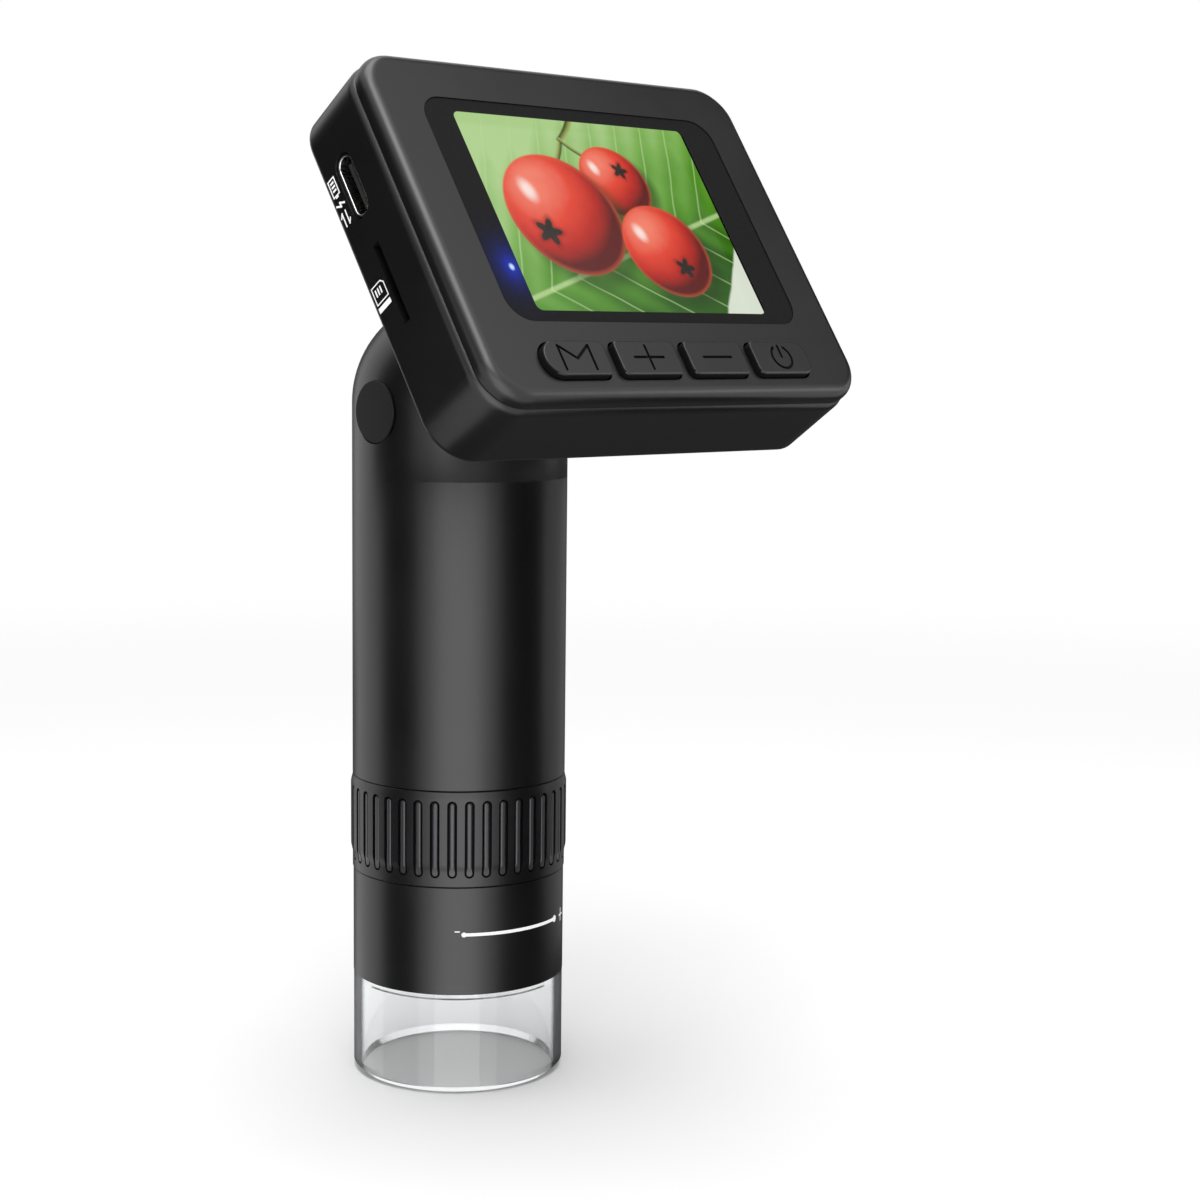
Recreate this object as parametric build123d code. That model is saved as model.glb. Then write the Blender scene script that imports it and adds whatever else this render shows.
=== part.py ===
from build123d import *
from math import atan2, cos, degrees, radians, sin, tan
import os

# ----------------------------------------------------------------------
# Driving dimensions, in millimetres, and degrees where the name says so.
# The handle stands on z = 0 with its axis on Z. The screen faces -Y, and
# the hinge that tilts it lies along X.
# ----------------------------------------------------------------------

# clearances
fit_gap = 0.05          # between pieces that are pushed or glued together
running_gap = 0.08      # between faces that slide or turn past each other
shaft_gap = 0.06        # radial, a shaft that turns or slides in its bore
loose_gap = 0.3         # round pieces that only pass near each other

# handle
barrel_radius = 15.5
barrel_wall = 1.7
lower_barrel_step = 0.1     # lower barrel inside the barrel's radius
lower_barrel_wall = 1.5
lower_barrel_length = 15.45
focus_ring_length = 13.65
grip_length = 53.71     # focus ring to the middle of the domed top
seam_chamfer = 0.1

# clear hood that stands on the specimen
hood_step = 0.05        # hood inside the lower barrel's radius
hood_wall = 1.3
hood_height = 14.4
hood_foot_chamfer = 0.9
hood_shoulder = 1.0
spigot_wall = 1.0
spigot_length = 3.2

# grip ribs round the focus ring
grip_band_rise = 0.25
grip_band_foot = 2.2    # plain ring below the band
grip_band_taper = 1.0   # length of the band's sloping ends
grip_band_round = 2.0   # where a sloping end meets the band
rib_count = 40
rib_pocket_width = 1.4
rib_pocket_depth = 0.55
rib_bar_width = 0.88
rib_bar_drop = 0.08
rib_bar_round = 0.33
pocket_margin_low = 1.3
pocket_margin_high = 1.25
rib_phase_deg = -132.1  # one rib centre, counted from +X

# focusing: the ring's two helical grooves lift the lens by two cam pins
focus_ring_wall = 2.84
guide_wall = 1.6
guide_rim = 2.2         # guide sleeve above the camera board
lens_travel = 3.0       # up and down from the middle
focus_turn_deg = 80.0   # either way from the middle
cam_pin_radius = 0.8
cam_groove_depth = 1.15
lens_band_height = 6.6
lens_band_wall = 1.3
lens_web = 2.0
lens_bore_radius = 3.4
lens_nose_wall = 1.0
lens_thickness = 1.8
lens_dome = 0.45
lens_seat = 0.5
retainer_length = 0.8
retainer_wall = 0.75

# ring of lamps and its diffuser, above the hood's spigot
diffuser_sink = 1.95
diffuser_height = 2.2
diffuser_face = 0.7
diffuser_wall = 0.7
lamp_board_thickness = 1.0
lamp_count = 8
lamp_circle_radius = 8.8
lamp_size = 2.0
lamp_height = 0.8
lamp_chamfer = 0.25

# camera and power inside the handle
sensor_board_thickness = 1.0
sensor_seat_wall = 1.6  # guide sleeve round the camera board
sensor_clearance = 1.4  # image sensor above the raised lens carrier
sensor_chip_side = 6.4
sensor_chip_height = 0.8
ribbon_socket_width = 8.0
ribbon_socket_depth = 2.8
ribbon_socket_height = 1.1
power_board_thickness = 1.0
cell_radius = 9.15
cell_edge_round = 0.6
cell_tab_thickness = 0.25
cell_tab_radius = 6.0
cradle_plate = 1.65
cradle_rail_arc_deg = 34.0
ribbon_width = 6.0
ribbon_thickness = 0.2
ribbon_edge = 0.7       # ribbon inside the camera board's rim
ribbon_over_cell = 0.55
ribbon_bend_rise = 1.2
ribbon_inset = 1.7      # ribbon's exit inside the back of the hinge slot

# hinge
hinge_drop = 1.05        # hinge axis below the middle of the domed top
knuckle_radius = 5.9
knuckle_width = 13.0
slot_gap = 0.4          # slot wall to knuckle side, filled by a washer
slot_floor_gap = 0.4
bulkhead = 1.85
pin_radius = 2.0
pin_head_radius = 3.2
pin_head_height = 1.8
pin_slot_width = 0.8
pin_slot_depth = 0.8
washer_radius = 5.0
spring_washer_thickness = 0.4
nut_across_flats = 5.5
nut_height = 1.8
cap_radius = 4.4
cap_sink = 0.15         # cap face below the barrel's widest point
cap_thickness = 1.2
cap_over_nut = 0.2
cap_edge = 0.1
cap_skirt_wall = 0.5

# head: x across, v up the screen, w out from the middle of the domed top
tilt_deg = 34.4         # screen leans back from upright
neck_length = 26.8      # middle of the domed top to the head's back
head_side_margins = 14.8  # beside the window, both sides together
head_row_margins = 19.1   # beside the row of buttons, both sides together
brow_height = 7.05      # above the window
chin_height = 3.125     # below the buttons
window_to_buttons = 3.275
head_rise = 0.75        # head centre above the dome's middle, along the screen
head_corner = 6.0
rear_case_depth = 12.25
case_wall = 1.7
case_edge_round = 1.0
rim_groove = 0.1
rim_groove_depth = 1.0
rim_edge_round = 1.35
plate_thickness = 2.3
bezel_inset = 0.25
bezel_edge_round = 1.6
bezel_tongue_wall = 0.7
bezel_tongue_depth = 2.0
neck_flare = 3.0
neck_round = 1.6
tunnel_wall = 1.2       # between the hinge pin and the wire tunnel
tunnel_height = 1.8

# window and picture panel
window_x = 0.1
window_corner = 3.6
window_sink = 0.15
window_thickness = 0.7
window_ledge = 0.9
window_ledge_thickness = 0.4
active_width = 40.8
active_height = 30.6
mask_left = 4.9         # black border of the window round the picture
mask_right = 5.7
mask_top = 2.05
mask_bottom = 1.75
panel_border_left = 0.6
panel_border_right = 4.6
panel_border_side = 1.2
panel_glass = 1.0
panel_pocket_gap = 0.1    # round the panel, in the plate's back
backlight_thickness = 2.0
panel_frame_wall = 0.9
panel_frame_ledge = 1.0
panel_ribbon_width = 14.0
panel_ribbon_out = 0.8
panel_ribbon_foot = 3.5

# main board and what stands on it
board_gap = 0.9         # board edge to the inside of the case
board_thickness = 1.0
standoff_height = 5.1
standoff_radius = 2.0
standoff_inset = 2.9
standoff_left_inset = 4.0
board_screw_radius = 0.7
board_screw_head = 1.3
board_screw_head_height = 0.6
board_screw_depth = 3.5
board_screw_right_v = (14.5, -12.5)
board_screw_left_v = -13.5
chip_height = 1.1
chip_spans = [((4, 13), (4, 13)), ((-10, -4), (9, 15)), ((3, 9), (-12, -8))]

# sockets in the left side
usb_v = 12.65
usb_width = 8.94
usb_height = 3.26
usb_shell_wall = 0.3
usb_length = 7.35
usb_mouth_gap = 0.22
usb_sink = 0.25
usb_corner = 1.6
usb_rim_round = 0.2
usb_tongue_width = 6.6
usb_tongue_thickness = 0.7
usb_tongue_length = 5.0
usb_base_depth = 1.2
card_v = -2.1
card_slot_width = 11.65
card_slot_height = 1.25
card_shell_width = 14.0
card_shell_depth = 14.5
card_shell_height = 1.9
card_shell_wall = 0.25
card_foot_height = 0.73
card_foot_side = 1.2

# buttons
button_spacing = 1.7
button_row_x = -0.45
button_width = 10.5
button_height = 5.15
button_corner = 1.0
mode_end_corner = 2.55
power_end_corner = 1.8
button_proud = 0.9
button_hole_gap = 0.3
button_travel = 0.4
button_flange = 0.35
button_flange_thickness = 0.8
button_edge = 0.3
button_stem_radius = 1.2
mark_reach_across = 2.5
mark_reach_up = 1.75
mark_middle_share = 0.45    # height of the M's middle in its whole height
mark_depth = 0.3
mark_stroke = 0.4
switch_side = 3.4
switch_body_height = 1.8
switch_plunger_radius = 0.9
switch_plunger_height = 0.75

# screws that close the head
case_screw_inset = 4.7  # from the head's sides
case_screw_radius = 0.8
case_screw_head = 1.5
case_screw_head_height = 1.0
case_screw_sink = 1.3
case_screw_end_gap = 1.2    # screw's end to the back of the front plate
case_screw_hole_end = 0.6
screw_cross_width = 0.34
screw_cross_depth = 0.5
screw_cross_share = 0.7     # of the screw head's width
case_boss_radius = 2.3
case_boss_height = 4.6  # rear case boss above the inside of its back

# indicator beside the picture
light_from_picture = 1.4
light_v = -6.0
light_pipe_radius = 0.55
light_lamp_size = (1.0, 1.6)
light_lamp_height = 0.8

# ----------------------------------------------------------------------
# Heights and places that follow from them
# ----------------------------------------------------------------------

button_names = ("mode", "plus", "minus", "power")

lower_barrel_radius = barrel_radius - lower_barrel_step
hood_radius = lower_barrel_radius - hood_step
grip_band_radius = barrel_radius + grip_band_rise
lower_z = hood_height + fit_gap
lower_top = lower_z + lower_barrel_length
ring_z = lower_top + running_gap
ring_top = ring_z + focus_ring_length
tube_z = ring_top + running_gap
dome_z = tube_z + grip_length
hinge_z = dome_z - hinge_drop

tube_bore = barrel_radius - barrel_wall
hood_bore = hood_radius - hood_wall
ring_bore = barrel_radius - focus_ring_wall
guide_radius = ring_bore - shaft_gap
guide_bore = guide_radius - guide_wall
lens_band_radius = guide_bore - shaft_gap
groove_radius = ring_bore + cam_groove_depth
cam_z = ring_z + focus_ring_length / 2
cam_reach = groove_radius - loose_gap
cam_clear = cam_pin_radius + shaft_gap
lens_nose_radius = lens_bore_radius + lens_nose_wall
groove_lead = lens_travel * 360 / focus_turn_deg

diffuser_z = lower_z + diffuser_sink
lamp_board_z = diffuser_z + diffuser_height
step_z = lamp_board_z + lamp_board_thickness
lower_bore = lower_barrel_radius - lower_barrel_wall
spigot_radius = lower_bore - fit_gap
spigot_bore = spigot_radius - spigot_wall
diffuser_radius = spigot_bore - loose_gap
diffuser_hole = lens_nose_radius + loose_gap
nose_z = diffuser_z + lens_travel

sensor_chip_z = cam_z + lens_band_height / 2 + lens_travel + sensor_clearance
sensor_board_z = sensor_chip_z + sensor_chip_height
sensor_board_top = sensor_board_z + sensor_board_thickness
sensor_board_radius = tube_bore - sensor_seat_wall - 2 * fit_gap
guide_top = sensor_board_top + guide_rim
ribbon_y = sensor_board_radius - ribbon_edge
power_board_z = guide_top
cradle_z = power_board_z + power_board_thickness + fit_gap
slot_floor = hinge_z - knuckle_radius - slot_floor_gap
bulkhead_z = slot_floor - bulkhead
cradle_top = bulkhead_z - fit_gap
cell_z = cradle_z + cradle_plate + cell_tab_thickness
cell_top = cradle_top - cradle_plate - cell_tab_thickness

slot_half = knuckle_width / 2 + slot_gap
slot_back = knuckle_radius + loose_gap
ribbon_exit_y = knuckle_radius - ribbon_inset
cap_face = barrel_radius - cap_sink
nut_end = cap_face - cap_thickness - cap_over_nut
ear_end = nut_end - nut_height - spring_washer_thickness

window_width = mask_left + active_width + mask_right
window_height = mask_top + active_height + mask_bottom
button_pitch = button_width + button_spacing
button_row_width = len(button_names) * button_pitch - button_spacing
head_width = max(window_width + head_side_margins, button_row_width + head_row_margins)
head_height = (brow_height + window_height + window_to_buttons + button_height
               + chin_height)
window_v = head_rise + head_height / 2 - brow_height - window_height / 2
button_row_v = head_rise - head_height / 2 + chin_height + button_height / 2
active_x = window_x - window_width / 2 + mask_left + active_width / 2
active_v = window_v + window_height / 2 - mask_top - active_height / 2
panel_edge = active_x + active_width / 2 + panel_border_right

case_back = neck_length
case_floor = case_back + case_wall
case_rim = case_back + rear_case_depth
plate_under = case_rim + rim_groove
face_w = plate_under + plate_thickness
window_w = face_w - window_sink - window_thickness
panel_front = window_w - window_ledge_thickness
panel_under = panel_front - panel_glass
board_rear = case_floor + standoff_height
board_front = board_rear + board_thickness
boss_joint = case_floor + case_boss_height
hinge_v = -hinge_drop * cos(radians(tilt_deg))
hinge_w = -hinge_drop * sin(radians(tilt_deg))

head_frame = Plane(
    origin=(0, 0, dome_z),
    x_dir=(1, 0, 0),
    z_dir=(0, -cos(radians(tilt_deg)), sin(radians(tilt_deg))),
).location

button_x = {
    name: button_row_x + (place - (len(button_names) - 1) / 2) * button_pitch
    for place, name in enumerate(button_names)
}
case_screw_places = [
    (x * (head_width / 2 - case_screw_inset),
     head_rise + v * (head_height / 2 - case_screw_inset))
    for x in (-1, 1)
    for v in (-1, 1)
]
board_width = head_width - 2 * (case_wall + board_gap)
board_height = head_height - 2 * (case_wall + board_gap)
board_screw_places = [
    (board_width / 2 - standoff_inset, v) for v in board_screw_right_v
] + [(standoff_left_inset - board_width / 2, board_screw_left_v)]
usb_w = board_rear - usb_height / 2
card_w = board_rear - card_foot_height - card_shell_height / 2
light_x = active_x - active_width / 2 - light_from_picture

# ----------------------------------------------------------------------
# Small shapes
# ----------------------------------------------------------------------


def tube(outer, inner, low, high):
    """A ring about Z from height low to high."""
    return Pos(0, 0, low) * extrude(Circle(outer) - Circle(inner), high - low)


def disc(radius, low, high):
    return Pos(0, 0, low) * extrude(Circle(radius), high - low)


def block(x_range, y_range, z_range):
    """A box from its lowest and highest value along each axis."""
    spans = [high - low for low, high in (x_range, y_range, z_range)]
    middle = [(high + low) / 2 for low, high in (x_range, y_range, z_range)]
    return Pos(*middle) * Box(*spans)


def rod_along_x(radius, x_low, x_high, z=0.0, y=0.0):
    length = x_high - x_low
    return Pos((x_low + x_high) / 2, y, z) * Rot(0, 90, 0) * Cylinder(radius, length)


def slab(face, low, high):
    """A flat face raised between two levels of Z."""
    return Pos(0, 0, low) * extrude(face, high - low)


def head_outline(inset):
    """The head's rounded outline, moved inwards."""
    return Pos(0, head_rise) * RectangleRounded(
        head_width - 2 * inset, head_height - 2 * inset, head_corner - inset)


def window_outline(inset):
    return Pos(window_x, window_v) * RectangleRounded(
        window_width - 2 * inset, window_height - 2 * inset, window_corner - inset)


def panel_outline(inset=0.0):
    """The picture panel's glass: the picture with its uneven border."""
    left = active_x - active_width / 2 - panel_border_left
    height = active_height + 2 * panel_border_side
    return Pos((left + panel_edge) / 2, active_v) * Rectangle(
        panel_edge - left - 2 * inset, height - 2 * inset)


def posts(places, radius, low, high):
    """Upright round posts at each place of a list."""
    return [Pos(x, v, low) * extrude(Circle(radius), high - low) for x, v in places]


def cut_all(body, tools):
    for tool in tools:
        body = body - tool
    return body


def join_all(body, pieces):
    for piece in pieces:
        body = body + piece
    return body


# ----------------------------------------------------------------------
# Handle
# ----------------------------------------------------------------------


def make_barrel_tube():
    """Tube with a domed top, slotted for the head's knuckle."""
    body = disc(barrel_radius, tube_z, dome_z)
    body = chamfer(body.edges().sort_by(Axis.Z)[0], seam_chamfer)
    wide = (-2 * barrel_radius, 2 * barrel_radius)
    dome = Pos(0, 0, dome_z) * Sphere(barrel_radius)
    dome = dome - block(wide, wide, (dome_z - 2 * barrel_radius, dome_z))
    body = body + dome
    body = body - disc(tube_bore, tube_z - 1, bulkhead_z)
    slot = block((-slot_half, slot_half), (-2 * barrel_radius, slot_back),
                 (slot_floor, dome_z + 2 * barrel_radius))
    body = body - slot
    body = body - rod_along_x(pin_radius + fit_gap, -barrel_radius, barrel_radius, hinge_z)
    for side in (-1, 1):
        ends = sorted((side * ear_end, side * 2 * barrel_radius))
        body = body - rod_along_x(cap_radius + fit_gap, *ends, hinge_z)
    return body - ribbon_room(ribbon_exit_y, slot_back, bulkhead_z - 1, slot_floor + 1)


def ribbon_room(near, far, low, high):
    """Room for the camera ribbon, from y near to y far."""
    half = ribbon_width / 2 + loose_gap
    return block((-half, half), (near - 1, far), (low, high))


def make_guide_sleeve():
    """Fixed inner tube: carries the lower barrel, guides the lens carrier."""
    body = tube(guide_radius, guide_bore, step_z, tube_z)
    body = body + tube(tube_bore - fit_gap, guide_bore, tube_z, guide_top)
    body = body - disc(sensor_board_radius + fit_gap, sensor_board_z, guide_top + 1)
    reach = lens_travel + cam_clear
    slots = block((-2 * guide_radius, 2 * guide_radius), (-cam_clear, cam_clear),
                  (cam_z - reach, cam_z + reach))
    return body - slots


def make_lower_barrel():
    body = tube(lower_barrel_radius, lower_bore, lower_z, step_z)
    body = body + tube(lower_barrel_radius, guide_radius + fit_gap, step_z, lower_top)
    rims = body.edges().filter_by(GeomType.CIRCLE).group_by(SortBy.RADIUS)[-1]
    return chamfer(rims.sort_by(Axis.Z)[-1], seam_chamfer)


def make_clear_hood():
    """Clear skirt that stands round the specimen, pushed into the barrel."""
    body = disc(hood_radius, 0, hood_height)
    body = chamfer(body.edges().sort_by(Axis.Z)[0], hood_foot_chamfer)
    body = body + disc(spigot_radius, hood_height, lower_z + spigot_length)
    body = body - disc(hood_bore, -1, hood_height - hood_shoulder)
    return body - disc(spigot_bore, 0, lower_z + spigot_length + 1)


def rib_slot(width, low, high):
    """An upright round-ended bar shape that points outwards from the axis."""
    face = SlotOverall(high - low, width)
    plane = Plane(origin=(0, 0, (low + high) / 2), x_dir=(0, 0, 1), z_dir=(1, 0, 0))
    return plane.location * face


def make_focus_ring():
    """Turned by hand: round-ended pockets with a grip bar in each."""
    foot = ring_z + grip_band_foot
    shoulder = ring_top - seam_chamfer
    profile = make_face(Polyline(
        (0, ring_z), (barrel_radius - seam_chamfer, ring_z),
        (barrel_radius, ring_z + seam_chamfer), (barrel_radius, foot),
        (grip_band_radius, foot + grip_band_taper),
        (grip_band_radius, shoulder - grip_band_taper), (barrel_radius, shoulder),
        (barrel_radius - seam_chamfer, ring_top), (0, ring_top), close=True))
    outer = profile.vertices().filter_by_position(Axis.X, barrel_radius, 2 * barrel_radius)
    profile = fillet(outer.sort_by(Axis.Y)[1:4], grip_band_round)
    body = revolve(Plane.XZ * profile, Axis.Z)
    low = ring_z + pocket_margin_low
    high = ring_top - pocket_margin_high
    rim = (rib_pocket_width - rib_bar_width) / 2
    pocket = extrude(rib_slot(rib_pocket_width, low, high), 2 * grip_band_radius)
    bar = extrude(rib_slot(rib_bar_width, low + rim, high - rim),
                  grip_band_radius - rib_bar_drop)
    bar = fillet(bar.faces().sort_by(Axis.X)[-1].edges(), rib_bar_round)
    cutter = pocket - bar - disc(grip_band_radius - rib_pocket_depth, ring_z, ring_top)
    step = 360 / rib_count
    body = body - [Rot(0, 0, rib_phase_deg + place * step) * cutter
                   for place in range(rib_count)]
    body = body - disc(ring_bore, ring_z - 1, ring_top + 1)
    return cut_all(body, [helical_groove(start) for start in (0, 180)])


def helical_groove(pin_angle):
    """Groove in the ring's bore that rises with the angle about +Z."""
    half_width = cam_clear + shaft_gap
    path = Helix(pitch=groove_lead, height=2 * lens_travel, radius=ring_bore)
    section_plane = Plane(origin=path @ 0, x_dir=(1, 0, 0), z_dir=path % 0)
    section = section_plane * Rectangle(2 * cam_groove_depth, 2 * half_width)
    groove = sweep(section, path, is_frenet=True)
    groove = Pos(0, 0, cam_z - lens_travel) * Rot(0, 0, -focus_turn_deg) * groove
    ends = [
        Rot(0, 0, side * focus_turn_deg)
        * rod_along_x(half_width, ring_bore - 1, groove_radius,
                      cam_z + side * lens_travel)
        for side in (-1, 1)
    ]
    return Rot(0, 0, pin_angle) * (groove + ends[0] + ends[1])


def make_lens_carrier():
    """Slides in the guide sleeve, with a nose tube that holds the lenses."""
    half = lens_band_height / 2
    body = tube(lens_band_radius, lens_band_radius - lens_band_wall,
                cam_z - half, cam_z + half)
    web_low = cam_z - lens_web / 2
    body = body + tube(lens_band_radius, lens_bore_radius, web_low, web_low + lens_web)
    body = body + tube(lens_nose_radius, lens_bore_radius, nose_z, web_low + lens_web)
    pin_root = lens_band_radius - lens_band_wall / 2
    for side in (-1, 1):
        ends = sorted((side * pin_root, side * cam_reach))
        body = body + rod_along_x(cam_pin_radius, *ends, cam_z)
    return body + tube(lens_bore_radius, lens_bore_radius - lens_seat,
                       nose_z + retainer_length + lens_thickness,
                       web_low + lens_web - lens_thickness)


def make_lens(low, dome_up):
    """A lens with one domed face, above or below its rim."""
    radius = lens_bore_radius - fit_gap
    sphere_radius = (radius ** 2 + lens_dome ** 2) / (2 * lens_dome)
    rim = disc(radius, low, low + lens_thickness)
    if dome_up:
        centre = low + lens_thickness - sphere_radius
    else:
        centre = low + sphere_radius
    return rim & (Pos(0, 0, centre) * Sphere(sphere_radius))


def make_lens_retainer():
    return tube(lens_bore_radius - fit_gap, lens_bore_radius - retainer_wall, nose_z,
                nose_z + retainer_length)


def make_lamp_board():
    return tube(lower_bore - fit_gap, diffuser_hole, lamp_board_z, step_z)


def make_lamps():
    lamp = Pos(lamp_circle_radius, 0, lamp_board_z - lamp_height / 2) * Box(
        lamp_size, lamp_size, lamp_height)
    lamp = chamfer(lamp.faces().sort_by(Axis.Z)[0].edges(), lamp_chamfer)
    return Compound([Rot(0, 0, place * 360 / lamp_count) * lamp
                     for place in range(lamp_count)])


def make_diffuser():
    """Frosted cup that covers the lamps and seats on their board."""
    body = tube(diffuser_radius, diffuser_hole, diffuser_z, lamp_board_z)
    room = tube(diffuser_radius - diffuser_wall, diffuser_hole + diffuser_wall,
                diffuser_z + diffuser_face, lamp_board_z)
    return body - room


def make_sensor_board():
    """Camera board with the socket that holds the ribbon's foot."""
    near = ribbon_y - ribbon_thickness / 2
    socket = block((-ribbon_socket_width / 2, ribbon_socket_width / 2),
                   (near - ribbon_socket_depth, near),
                   (sensor_board_top, sensor_board_top + ribbon_socket_height))
    return disc(sensor_board_radius, sensor_board_z, sensor_board_top) + socket


def make_image_sensor():
    half = sensor_chip_side / 2
    return block((-half, half), (-half, half), (sensor_chip_z, sensor_board_z))


def make_power_board():
    top = power_board_z + power_board_thickness
    body = disc(tube_bore - loose_gap, power_board_z, top)
    return body - ribbon_room(ribbon_y, barrel_radius, power_board_z - 1, top + 1)


def make_cell():
    body = disc(cell_radius, cell_z, cell_top)
    return fillet(body.edges().filter_by(GeomType.CIRCLE), cell_edge_round)


def make_cell_tabs():
    low = disc(cell_tab_radius, cell_z - cell_tab_thickness, cell_z)
    high = disc(cell_tab_radius, cell_top, cell_top + cell_tab_thickness)
    return Compound([low, high])


def make_cell_cradle():
    """Two end plates joined by three rails round the cell."""
    radius = tube_bore - fit_gap * 2
    plate_low = disc(radius, cradle_z, cradle_z + cradle_plate)
    plate_high = disc(radius, cradle_top - cradle_plate, cradle_top)
    ring = tube(radius, cell_radius + loose_gap, cradle_z, cradle_top)
    half = radians(cradle_rail_arc_deg / 2)
    far = 2 * radius
    wedge_face = make_face(Polyline(
        (0, 0), (far, -far * tan(half)), (far, far * tan(half)), close=True))
    wedge = slab(wedge_face, cradle_z, cradle_top)
    rails = [ring & (Rot(0, 0, angle) * wedge) for angle in (-90, 30, 150)]
    body = join_all(plate_low, rails + [plate_high])
    body = body - ribbon_room(ribbon_exit_y, far, cell_top, cradle_top + 1)
    return body - ribbon_room(ribbon_y, far, cradle_z - 1, cell_z)


def make_camera_ribbon():
    """Flat cable from the camera board up the handle to the hinge slot."""
    bend = cell_top + ribbon_over_cell
    line = Polyline((ribbon_y, sensor_board_top), (ribbon_y, bend),
                    (ribbon_exit_y, bend + ribbon_bend_rise),
                    (ribbon_exit_y, slot_floor))
    face = trace(line, ribbon_thickness)
    # the line is drawn with y across and z up, then stood upright
    stand = Plane(origin=(-ribbon_width / 2, 0, 0), x_dir=(0, 1, 0), z_dir=(1, 0, 0))
    return extrude(stand.location * face, ribbon_width)


# ----------------------------------------------------------------------
# Hinge hardware
# ----------------------------------------------------------------------


def make_hinge_pin():
    head_end = -ear_end - pin_head_height
    body = rod_along_x(pin_radius, -ear_end, nut_end, hinge_z)
    head = rod_along_x(pin_head_radius, head_end, -ear_end, hinge_z)
    slot = block((head_end - 1, head_end + pin_slot_depth),
                 (-pin_slot_width / 2, pin_slot_width / 2),
                 (hinge_z - pin_head_radius, hinge_z + pin_head_radius))
    return body + head - slot


def make_friction_washers():
    bore = pin_radius + fit_gap
    washers = []
    for side in (-1, 1):
        ends = sorted((side * (knuckle_width / 2 + running_gap), side * slot_half))
        washers.append(rod_along_x(washer_radius, *ends, hinge_z)
                       - rod_along_x(bore, *ends, hinge_z))
    return Compound(washers)


def make_spring_washer():
    ends = (ear_end, ear_end + spring_washer_thickness)
    return rod_along_x(pin_head_radius, *ends, hinge_z) \
        - rod_along_x(pin_radius + fit_gap, *ends, hinge_z)


def make_hinge_nut():
    start = ear_end + spring_washer_thickness
    hexagon = RegularPolygon(nut_across_flats / 2, 6, major_radius=False)
    face = hexagon - Circle(pin_radius + fit_gap)
    turned = Pos(start, 0, hinge_z) * Rot(0, 90, 0)
    return turned * extrude(face, nut_height)


def make_hinge_cap(side):
    """Round cap that snaps over the end of the hinge pin."""
    ends = sorted((side * (cap_face - cap_thickness), side * cap_face))
    body = rod_along_x(cap_radius, *ends, hinge_z)
    rims = body.edges().filter_by(GeomType.CIRCLE).sort_by(Axis.X)
    body = chamfer(rims[-1] if side > 0 else rims[0], cap_edge)
    skirt_ends = sorted((side * ear_end, side * (cap_face - cap_thickness)))
    return body + (rod_along_x(cap_radius, *skirt_ends, hinge_z)
                   - rod_along_x(cap_radius - cap_skirt_wall, *skirt_ends, hinge_z))


# ----------------------------------------------------------------------
# Head, drawn flat: X across, Y up the screen, Z out from the hinge axis
# ----------------------------------------------------------------------


def side_slot(inset, x_range):
    """The USB opening's outline, moved inwards, through the left side."""
    face = RectangleRounded(usb_width - 2 * inset, usb_height - 2 * inset,
                            usb_corner - inset)
    plane = Plane(origin=(x_range[0], usb_v, usb_w), x_dir=(0, 1, 0), z_dir=(1, 0, 0))
    return extrude(plane.location * face, x_range[1] - x_range[0])


def make_rear_case():
    """Tub with the hinge neck and knuckle moulded on its back."""
    body = slab(head_outline(0), case_back, case_rim)
    body = fillet(body.faces().sort_by(Axis.Z)[0].edges(), case_edge_round)
    body = fillet(body.faces().sort_by(Axis.Z)[-1].edges(), rim_edge_round)
    body = body - slab(head_outline(case_wall), case_floor, case_rim + 1)
    lip = head_outline(rim_groove_depth) - head_outline(case_wall)
    body = body + slab(lip, case_floor, plate_under)
    body = body + make_neck() - wire_tunnel()
    body = join_all(body, posts(case_screw_places, case_boss_radius,
                                case_floor - case_wall / 2, boss_joint))
    body = cut_all(body, posts(case_screw_places, case_screw_radius + fit_gap,
                               case_back - 1, boss_joint + 1))
    body = cut_all(body, posts(case_screw_places, case_screw_head + fit_gap,
                               case_back - 1,
                               case_back + case_screw_sink + case_screw_head_height))
    body = join_all(body, posts(board_screw_places, standoff_radius,
                                case_floor - case_wall / 2, board_rear))
    body = cut_all(body, posts(board_screw_places, board_screw_radius + fit_gap,
                               board_rear - board_screw_depth - fit_gap,
                               board_rear + 1))
    left = -head_width / 2
    wall_range = (left - 1, left + case_wall + 1)
    body = body - side_slot(-usb_mouth_gap, wall_range)
    card_mouth = block(wall_range,
                       (card_v - card_slot_width / 2, card_v + card_slot_width / 2),
                       (card_w - card_slot_height / 2,
                        card_w + card_slot_height / 2))
    return body - card_mouth


def make_neck():
    """Neck from the head's back to the knuckle on the hinge axis."""
    half = knuckle_width / 2
    width, height = knuckle_width, 2 * knuckle_radius
    back = case_back - hinge_w
    root = back + case_wall / 2
    neck = slab(RectangleRounded(width, height, neck_round), 0, root)
    knuckle = rod_along_x(knuckle_radius, -half, half)
    knuckle = chamfer(knuckle.edges().filter_by(GeomType.CIRCLE), slot_gap)
    flare = loft([
        Pos(0, 0, back - neck_flare) * RectangleRounded(width, height, neck_round),
        Pos(0, 0, root) * RectangleRounded(width + 2 * neck_flare,
                                           height + 2 * neck_flare,
                                           neck_round + neck_flare),
    ])
    body = neck + knuckle + flare
    body = body - rod_along_x(pin_radius + shaft_gap, -knuckle_width, knuckle_width)
    return Pos(0, hinge_v, hinge_w) * body


def wire_tunnel():
    """The wires' way through the knuckle and neck into the tub."""
    top = hinge_v - pin_radius - tunnel_wall
    half = ribbon_width / 2 + loose_gap
    return block((-half, half), (top - tunnel_height, top),
                 (-2 * knuckle_radius, case_floor + 1))


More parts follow.
